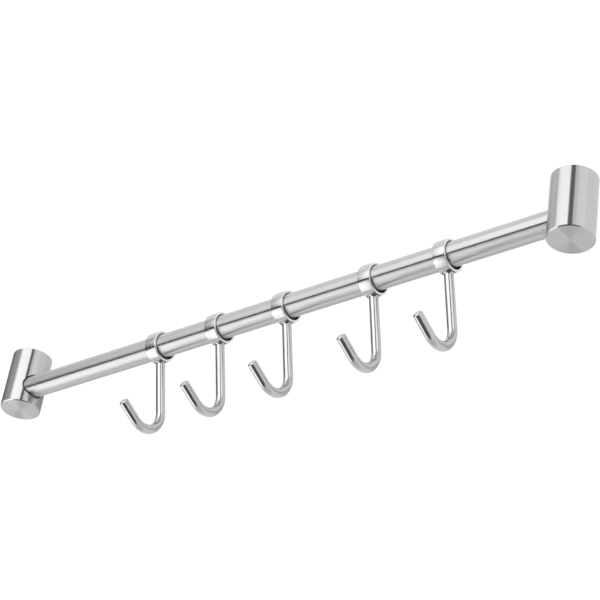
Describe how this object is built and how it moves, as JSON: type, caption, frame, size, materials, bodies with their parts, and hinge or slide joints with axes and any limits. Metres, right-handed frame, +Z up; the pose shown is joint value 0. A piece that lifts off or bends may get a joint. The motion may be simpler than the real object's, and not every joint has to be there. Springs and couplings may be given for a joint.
{
  "type": "kitchen utensil rail",
  "caption": "Short steel utensil rail: a round tube between two turned stand-off posts that fix to a wall, with J-shaped wire hooks on collars that slide along the tube and swing round it.",
  "frame": {"origin": "on the wall plane, half-way between the two wall screws", "axes": "+X along the rail, +Y into the wall, +Z up"},
  "size_m": [0.3876, 0.0754, 0.0313],
  "materials": {
    "satin_steel": "satin, turned",
    "satin_tube": "satin, ground round the tube",
    "collar_steel": "polished",
    "polished_wire": "polished",
    "turned_stub": "turned",
    "screw_steel": "plain"
  },
  "bodies": {
    "root": {"left_post": "satin_steel", "right_post": "satin_steel", "rail_tube": "satin_tube", "left_wall_stub": "turned_stub", "right_wall_stub": "turned_stub", "stub_grub_screws": "screw_steel", "rail_grub_screws": "screw_steel"},
    "hook_1_slider": {"hook_1_collar": "collar_steel"},
    "hook_1": {"hook_1_wire": "polished_wire"},
    "hook_2_slider": {"hook_2_collar": "collar_steel"},
    "hook_2": {"hook_2_wire": "polished_wire"},
    "hook_3_slider": {"hook_3_collar": "collar_steel"},
    "hook_3": {"hook_3_wire": "polished_wire"},
    "hook_4_slider": {"hook_4_collar": "collar_steel"},
    "hook_4": {"hook_4_wire": "polished_wire"},
    "hook_5_slider": {"hook_5_collar": "collar_steel"},
    "hook_5": {"hook_5_wire": "polished_wire"}
  },
  "joints": [
    {"name": "hook_1_slide", "type": "slide", "parent": "root", "child": "hook_1_slider", "axis": [1, 0, 0], "range_m": [-0.0919, 0.0349]},
    {"name": "hook_1_swing", "type": "hinge", "parent": "hook_1_slider", "child": "hook_1", "pos_m": [-0.0748, -0.02295, 0.00105], "axis": [1, 0, 0], "range_deg": [-92, 104]},
    {"name": "hook_2_slide", "type": "slide", "parent": "root", "child": "hook_2_slider", "axis": [1, 0, 0], "range_m": [-0.0349, 0.0377]},
    {"name": "hook_2_swing", "type": "hinge", "parent": "hook_2_slider", "child": "hook_2", "pos_m": [-0.0322, -0.02295, 0.00105], "axis": [1, 0, 0], "range_deg": [-92, 104]},
    {"name": "hook_3_slide", "type": "slide", "parent": "root", "child": "hook_3_slider", "axis": [1, 0, 0], "range_m": [-0.0377, 0.0478]},
    {"name": "hook_3_swing", "type": "hinge", "parent": "hook_3_slider", "child": "hook_3", "pos_m": [0.0132, -0.02295, 0.00105], "axis": [1, 0, 0], "range_deg": [-92, 104]},
    {"name": "hook_4_slide", "type": "slide", "parent": "root", "child": "hook_4_slider", "axis": [1, 0, 0], "range_m": [-0.0478, 0.0372]},
    {"name": "hook_4_swing", "type": "hinge", "parent": "hook_4_slider", "child": "hook_4", "pos_m": [0.0687, -0.02295, 0.00105], "axis": [1, 0, 0], "range_deg": [-92, 104]},
    {"name": "hook_5_slide", "type": "slide", "parent": "root", "child": "hook_5_slider", "axis": [1, 0, 0], "range_m": [-0.0372, 0.0531]},
    {"name": "hook_5_swing", "type": "hinge", "parent": "hook_5_slider", "child": "hook_5", "pos_m": [0.1136, -0.02295, 0.00105], "axis": [1, 0, 0], "range_deg": [-92, 104]}
  ]
}
